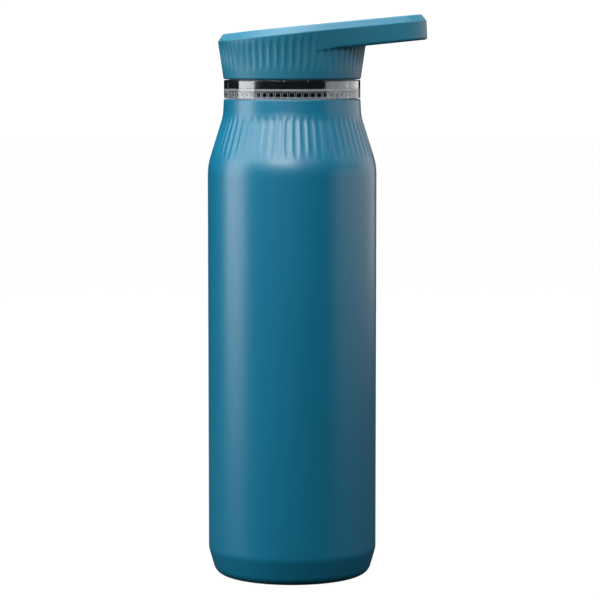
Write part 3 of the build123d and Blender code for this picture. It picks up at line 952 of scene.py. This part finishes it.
class BOTTLE_OT_base(bpy.types.Operator):
    """Make the base pan and its cover, and finish the solder bead"""

    bl_idname = "bottle.base"
    bl_label = "Base"

    def execute(self, context):
        look = context.scene.bottle_finish
        coat = material_of("Powder Coated Steel", powder_coated_steel, look)
        under = rounded(
            [
                (PORT_R, DIMPLE_Z),
                (DIMPLE_R, DIMPLE_Z),
                (DIMPLE_R + PAN_STEP, PAN_Z),
                (PAN_RISE_R, PAN_Z),
                (PAN_RISE_R + PAN_STEP, 0.0),
                (WELD_R, 0.0),
            ],
            [PAN_BEND] * 4,
            15.0,
        )
        over = rounded(
            [
                (WELD_R, WALL_T),
                (PAN_RISE_R + PAN_STEP * 1.5, WALL_T),
                (PAN_RISE_R + PAN_STEP * 0.5, PAN_Z + WALL_T),
                (DIMPLE_R + PAN_STEP * 1.5, PAN_Z + WALL_T),
                (DIMPLE_R + PAN_STEP * 0.5, DIMPLE_Z + WALL_T),
                (PORT_R, DIMPLE_Z + WALL_T),
            ],
            [PAN_BEND] * 4,
            15.0,
        )
        pan = lathe("base_pan", under + over, 240)
        pan.data.materials.append(coat)
        smooth(pan)
        place_piece(pan, "bottle", "coated_steel", "base_shell")

        radius = COVER_HIGH.x
        rim = rounded(
            [(0.0, COVER_LOW.z), (radius, COVER_LOW.z), (radius, COVER_HIGH.z), (0.0, COVER_HIGH.z)],
            [0.35, 0.1],
            15.0,
        )
        cover = lathe("base_cover_disc", rim, 240)
        cover.data.materials.append(coat)
        smooth(cover)
        place_piece(cover, "bottle", "coated_steel", "base_cover")
        finish_cad_node("seal_bead", material_of("Solder", bare_metal, "Solder", "#9D9DA0", 0.45, 0.6, 0.02))
        return {"FINISHED"}


class BOTTLE_OT_liner(bpy.types.Operator):
    """Make the steel liner with its neck thread, and finish what lies in the vacuum"""

    bl_idname = "bottle.liner"
    bl_label = "Steel Liner"

    def execute(self, context):
        look = context.scene.bottle_finish
        steel = material_of("Brushed Stainless Steel", brushed_stainless, look)
        bore_r = LINER_OUT_R - LINER_T
        flange_r = RIM_R - WALL_T
        neck_low = rounded(
            [
                (bore_r, LINER_SEAM_Z),
                (bore_r, LINER_SHOULDER_Z),
                (NECK_BORE_R, LINER_NECK_Z),
                (NECK_BORE_R, 196.0),
            ],
            [SHOULDER_BLEND, NECK_BLEND / 2],
            5.0,
        )
        thread_wall = ladder((NECK_BORE_R, 196.3), (NECK_BORE_R, 204.6), 36)
        rim = rounded(
            [
                (NECK_BORE_R, 204.6),
                (NECK_BORE_R, RIM_Z),
                (flange_r, RIM_Z),
                (flange_r, RIM_Z - LINER_T),
                (NECK_BORE_R + LINER_T, RIM_Z - LINER_T),
                (NECK_BORE_R + LINER_T, LINER_NECK_Z),
                (LINER_OUT_R, LINER_SHOULDER_Z),
                (LINER_OUT_R, LINER_SEAM_Z),
            ],
            [LINER_T, 0.1, 0.1, LINER_T / 2, NECK_BLEND / 2, SHOULDER_BLEND],
            10.0,
        )
        liner = lathe("steel_liner", neck_low + thread_wall + rim, 360)
        cut_thread(
            liner, steel, NECK_THREAD_Z, NECK_LEAD, NECK_STARTS,
            lambda point: float(math.hypot(point.x, point.y) < NECK_BORE_R + 0.1 and 196.2 < point.z < 204.7),
        )
        smooth(liner)
        place_piece(liner, "bottle", "liner_steel", "inner_wall")
        finish_cad_node("inner_base", steel)
        foil = material_of("Copper Foil", bare_metal, "Copper Foil", "#C98A63", 0.2, 6.0, 0.05)
        finish_cad_node("heat_shield", foil)
        getter = material_of("Getter Metal", bare_metal, "Getter Metal", "#7C7C80", 0.5, 0.3, 0.02)
        finish_cad_node("getter", getter)
        finish_cad_node("getter_clip", getter)
        return {"FINISHED"}


class BOTTLE_OT_spout(bpy.types.Operator):
    """Make the clear spout: ring with its pockets, deck, threaded skirt and threaded tube"""

    bl_idname = "bottle.spout"
    bl_label = "Clear Spout"

    def execute(self, context):
        look = context.scene.bottle_finish
        clear = material_of("Clear Copolyester", clear_copolyester, look)
        frosted = material_of("Spark Eroded Copolyester", frosted_copolyester)
        half = CELL_W / 2 / (RING_R - RING_T)
        columns = []
        for cell in range(CELLS):
            for offset, depth in CELL_COLUMNS:
                turn = math.tau * cell / CELLS + half * offset
                columns.append([at_turn(point, turn) for point in self.outline(depth)])
        spout = closed_grid("clear_spout", columns)
        cut_thread(
            spout, clear, NECK_THREAD_Z - NECK_LEAD / NECK_STARTS / 2, NECK_LEAD, NECK_STARTS,
            lambda point: float(
                abs(math.hypot(point.x, point.y) - SKIRT_R) < THREAD_REACH
                and SKIRT_THREAD_LOW_Z < point.z < DECK_Z - 1
            ),
        )
        cut_thread(
            spout, clear, CAP_THREAD_Z, CAP_LEAD, CAP_STARTS,
            lambda point: float(
                abs(math.hypot(point.x, point.y) - TUBE_R) < THREAD_REACH
                and TUBE_THREAD_LOW_Z < point.z < TUBE_THREAD_HIGH_Z
            ),
        )
        spout.data.materials.append(frosted)
        for face in spout.data.polygons:
            face.material_index = int(self.is_frosted(face))
        smooth(spout)
        place_piece(spout, "spout", "clear_plastic", "spout")
        return {"FINISHED"}

    @staticmethod
    def is_frosted(face):
        """Whether a face is on a pocket's side or roof, or on the deck's rounded edge above them."""
        centre, normal = face.center / MM, face.normal
        radius = math.hypot(centre.x, centre.y)
        across = abs(normal.x * centre.y - normal.y * centre.x) / radius
        outward = (normal.x * centre.x + normal.y * centre.y) / radius
        ring_in, deck_top = RING_R - RING_T, DECK_Z + DECK_T
        in_pocket = ring_in - CELL_LAP < radius < ring_in + CELL_DEPTH and RING_LOW_Z < centre.z < deck_top
        on_edge = ring_in - 1.0 < radius < ring_in + 0.1 and deck_top < centre.z < deck_top + FROST_H
        on_roof = outward > FROST_ROOF and centre.z > DECK_Z + 0.2
        return on_edge or in_pocket and (across > FROST_LEAN or on_roof)

    @staticmethod
    def outline(depth):
        """The spout's section; depth is the share of a pocket's depth where the section is taken."""
        ring_in = RING_R - RING_T
        deck_top = DECK_Z + DECK_T
        skirt_in, tube_in = SKIRT_R - SKIRT_T, TUBE_R - TUBE_T
        if depth:
            roof = deck_top - CELL_SKIN
            back = ring_in - CELL_LAP + (CELL_DEPTH + CELL_LAP) * depth
            pocket = rounded(
                [(ring_in - CELL_LAP, DECK_Z), (ring_in - CELL_LAP, roof), (back, roof), (back, RING_LOW_Z)],
                [0.0, min(CELL_ROOF_ROUND, (back - ring_in + CELL_LAP) * 0.9)],
                22.5,
                9.0,
            )
        else:
            flat = ring_in - CELL_LAP
            pocket = [Vector((flat, DECK_Z))] * 6 + [Vector((ring_in, DECK_Z)), Vector((ring_in, RING_LOW_Z))]
        skirt = rounded(
            [
                (skirt_in, SKIRT_LOW_Z + 2),
                (skirt_in, SKIRT_LOW_Z),
                (SKIRT_R, SKIRT_LOW_Z),
                (SKIRT_R, SKIRT_LOW_Z + 0.8),
            ],
            [0.4, 0.4],
            30.0,
            0.1,
        )
        skirt += ladder((SKIRT_R, SKIRT_LOW_Z + 1.0), (SKIRT_R, DECK_Z - 2.0), 44)
        skirt += [Vector((SKIRT_R, DECK_Z - 2.0)), Vector((SKIRT_R, DECK_Z))]
        ring = rounded(
            [
                (ring_in + 0.9, RING_LOW_Z),
                (RING_R, RING_LOW_Z),
                (RING_R, RING_TOP_Z),
                (ring_in, RING_TOP_Z),
                (ring_in, deck_top),
                (TUBE_R, deck_top),
                (TUBE_R, deck_top + 4.0),
            ],
            [0.25, 0.35, 0.35, 0.9, 0.8],
            22.0,
        )
        tube = ladder((TUBE_R, TUBE_RUNGS_LOW_Z), (TUBE_R, TUBE_RUNGS_HIGH_Z), 34)
        mouth = rounded(
            [
                (TUBE_R, TUBE_RUNGS_HIGH_Z),
                (TUBE_R, TUBE_TOP_Z),
                (tube_in, TUBE_TOP_Z),
                (tube_in, deck_top - FUNNEL_DROP),
                (skirt_in, deck_top - FUNNEL_DROP - skirt_in + tube_in),
                (skirt_in, SKIRT_LOW_Z + 2.5),
            ],
            [0.8, 0.8, 2.0, 2.0],
            15.0,
        )
        return skirt + pocket + ring + tube + mouth


class BOTTLE_OT_seals(bpy.types.Operator):
    """Make the two silicone seals"""

    bl_idname = "bottle.seals"
    bl_label = "Silicone Seals"

    def execute(self, context):
        silicone = material_of("Silicone Rubber", silicone_rubber, context.scene.bottle_finish)
        for name, node, body, low, high, inner in (
            ("spout_seal_ring", "spout_gasket", "spout_seal", GASKET_LOW, GASKET_HIGH, SKIRT_R + 0.3),
            (
                "cap_seal_ring",
                "cap_gasket",
                "cap_seal",
                CAP_GASKET_LOW,
                CAP_GASKET_HIGH,
                TUBE_R - TUBE_T - CAP_GASKET_LAP,
            ),
        ):
            middle = (low.z + high.z) / 2
            outline = rounded(
                [
                    (inner, middle),
                    (inner, low.z),
                    (high.x, low.z),
                    (high.x, high.z),
                    (inner, high.z),
                    (inner, middle + 0.01),
                ],
                [0.3] * 4,
                18.0,
                0.1,
            )
            ring = lathe(name, outline, 240)
            ring.data.materials.append(silicone)
            smooth(ring)
            place_piece(ring, body, "silicone", node)
        return {"FINISHED"}


class BOTTLE_OT_cap_shell(bpy.types.Operator):
    """Make the fluted cap with its sloping lid and tongue, and finish the tongue's cover"""

    bl_idname = "bottle.cap_shell"
    bl_label = "Cap Shell"

    def execute(self, context):
        sizes, look = context.scene.bottle_sizes, context.scene.bottle_finish
        plastic = material_of("Spark Eroded Polypropylene", spark_eroded_polypropylene, look)
        count = sizes.flutes * sizes.columns_per_flute
        turns = [math.tau * index / count - math.pi for index in range(count)]
        shell = closed_grid("fluted_cap", [lid_column(turn) for turn in turns], close_rows=False)
        mark(shell, "flute_fade", cap_flute_fade)
        values = {
            "Flutes": float(sizes.flutes),
            "Depth": sizes.cap_flute_depth,
            "Width": sizes.flute_width,
            "Material": plastic,
        }
        shape_by(shell, named_tree("Fluted Relief", fluted_relief), values, ["flute_fade"])
        smooth(shell, 30.0)
        place_piece(shell, "cap", "cap_plastic", "cap_shell")
        finish_cad_node("handle_cover", plastic)
        finish_cad_node("cap_insulation", material_of("Closed Cell Foam", closed_cell_foam))
        return {"FINISHED"}


class BOTTLE_OT_cap_liner(bpy.types.Operator):
    """Make the dark liner inside the cap, with its skirt and threaded sleeve"""

    bl_idname = "bottle.cap_liner"
    bl_label = "Cap Liner"

    def execute(self, context):
        dark = material_of("Dark Polypropylene", dark_polypropylene, context.scene.bottle_finish)
        ceiling = CAP_GASKET_HIGH.z
        top = LINER_HIGH.z
        sleeve_out = SLEEVE_R + SLEEVE_T
        web_r = LINER_HIGH.x
        web_top = LINER_WEB_Z + LINER_WEB_T
        skirt_in = LINER_SKIRT_R - LINER_SKIRT_T
        bore = rounded([(0.0, ceiling), (SLEEVE_R, ceiling), (SLEEVE_R, 222.0)], [0.3], 30.0)
        bore += ladder((SLEEVE_R, 221.6), (SLEEVE_R, 213.0), 40)
        outside = rounded(
            [
                (SLEEVE_R, 213.0),
                (SLEEVE_R, LINER_LOW.z + 0.3),
                (sleeve_out, LINER_LOW.z + 0.3),
                (sleeve_out, LINER_WEB_Z),
                (skirt_in, LINER_WEB_Z),
                (skirt_in, LINER_SKIRT_Z),
                (LINER_SKIRT_R, LINER_SKIRT_Z),
                (LINER_SKIRT_R, LINER_WEB_Z),
                (web_r, LINER_WEB_Z),
                (web_r, web_top),
                (sleeve_out, web_top),
                (sleeve_out, top),
                (0.0, top),
            ],
            [0.3, 0.3, 0.5, 0.5, 0.3, 0.3, 0.1, 0.1, 0.1, 0.5, 0.3],
            30.0,
            0.2,
        )
        liner = lathe("cap_liner_moulding", bore + outside, 360)
        cut_thread(
            liner, dark, CAP_THREAD_Z - CAP_LEAD / CAP_STARTS / 2, CAP_LEAD, CAP_STARTS,
            lambda point: float(abs(math.hypot(point.x, point.y) - SLEEVE_R) < 0.1 and 213 < point.z < 222),
        )
        smooth(liner)
        place_piece(liner, "cap", "liner_plastic", "cap_liner")
        return {"FINISHED"}


class BOTTLE_OT_studio(bpy.types.Operator):
    """Make the floor, the lights and the camera"""

    bl_idname = "bottle.studio"
    bl_label = "Studio"

    def execute(self, context):
        scene = context.scene
        scene.view_settings.view_transform = "Standard"
        world = bpy.data.worlds.new("Studio")
        scene.world = world
        world.use_nodes = True
        tree = world.node_tree
        tree.nodes.clear()
        path = add_node(tree, "ShaderNodeLightPath")
        dim = add_node(tree, "ShaderNodeBackground", {"Color": (0.9, 0.95, 1.0, 1.0), "Strength": WORLD_DIM})
        paper = add_node(tree, "ShaderNodeBackground", {"Color": (1.0, 1.0, 1.0, 1.0), "Strength": 1.05})
        shown = add_node(
            tree,
            "ShaderNodeMixShader",
            {0: path.outputs["Is Camera Ray"], 1: dim.outputs[0], 2: paper.outputs[0]},
        )
        add_node(tree, "ShaderNodeOutputWorld", {"Surface": shown.outputs[0]})

        bpy.ops.mesh.primitive_circle_add(vertices=96, radius=6.0, fill_type="NGON", location=(0, 0, FLOOR_Z))
        floor = context.object
        floor.name = "studio_floor"
        floor.data.materials.append(self.paper_floor())

        for row in LIGHTS:
            self.softbox(*row)
        self.camera(scene)
        return {"FINISHED"}

    @staticmethod
    def paper_floor():
        """White paper sweep: matte, and lit until it is nearly as bright as the background."""
        material, tree, shader = new_material("White Paper", "#2C2C2C", 0.9)
        shader.inputs["Specular IOR Level"].default_value = 0.0
        path = add_node(tree, "ShaderNodeLightPath")
        glow = add_node(
            tree, "ShaderNodeMath", {0: path.outputs["Is Camera Ray"], 1: PAPER_GLOW}, operation="MULTIPLY"
        )
        shader.inputs["Emission Color"].default_value = (1.0, 1.0, 1.0, 1.0)
        tree.links.new(glow.outputs[0], shader.inputs["Emission Strength"])
        return material

    @staticmethod
    def softbox(name, azimuth, elevation, distance, width, height, radiance):
        """A soft light at a turn to the camera's right and a height above the level, in degrees."""
        turn, rise = math.radians(azimuth), math.radians(elevation)
        aim = Vector((0.0, 0.0, LIGHT_AIM_Z))
        toward = Vector((math.sin(turn) * math.cos(rise), -math.cos(turn) * math.cos(rise), math.sin(rise)))
        light = bpy.data.lights.new(name, "AREA")
        light.shape = "RECTANGLE"
        light.size, light.size_y = width, height
        light.energy = radiance * math.pi * width * height
        lamp = bpy.data.objects.new(name, light)
        lamp.location = aim + toward * distance
        lamp.rotation_euler = toward.to_track_quat("Z", "Y").to_euler()
        lamp.visible_camera = False
        bpy.context.scene.collection.objects.link(lamp)

    @staticmethod
    def camera(scene):
        """A long lens a little above the bottle's middle, tilted five degrees down."""
        data = bpy.data.cameras.new("Camera")
        data.lens, data.sensor_width = 158.9, 36.0
        data.dof.use_dof = False
        camera = bpy.data.objects.new("Camera", data)
        camera.location = (0.0034, -1.1466, 0.2243)
        camera.rotation_euler = (math.radians(90 - 5.21), 0.0, 0.0)
        scene.collection.objects.link(camera)
        scene.camera = camera


class BOTTLE_PT_panel(bpy.types.Panel):
    """Lists the bottle's operators, sizes and finishes"""

    bl_idname = "BOTTLE_PT_panel"
    bl_label = "Insulated Cycling Bottle"
    bl_space_type = "VIEW_3D"
    bl_region_type = "UI"
    bl_category = "Bottle"

    def draw(self, context):
        for operator in OPERATORS:
            self.layout.operator(operator.bl_idname)
        for group in (context.scene.bottle_sizes, context.scene.bottle_finish):
            box = self.layout.box()
            for name in group.__annotations__:
                box.prop(group, name)


OPERATORS = (
    BOTTLE_OT_outer_wall,
    BOTTLE_OT_base,
    BOTTLE_OT_liner,
    BOTTLE_OT_spout,
    BOTTLE_OT_seals,
    BOTTLE_OT_cap_shell,
    BOTTLE_OT_cap_liner,
    BOTTLE_OT_studio,
)
CLASSES = (BottleSizes, BottleFinish, *OPERATORS, BOTTLE_PT_panel)


def register():
    for cls in CLASSES:
        bpy.utils.register_class(cls)
    bpy.types.Scene.bottle_sizes = bpy.props.PointerProperty(type=BottleSizes)
    bpy.types.Scene.bottle_finish = bpy.props.PointerProperty(type=BottleFinish)


def unregister():
    del bpy.types.Scene.bottle_finish
    del bpy.types.Scene.bottle_sizes
    for cls in reversed(CLASSES):
        bpy.utils.unregister_class(cls)


def main():
    register()
    bpy.ops.bottle.outer_wall()
    bpy.ops.bottle.base()
    bpy.ops.bottle.liner()
    bpy.ops.bottle.spout()
    bpy.ops.bottle.seals()
    bpy.ops.bottle.cap_shell()
    bpy.ops.bottle.cap_liner()
    bpy.ops.bottle.studio()


if __name__ == "__main__":
    main()
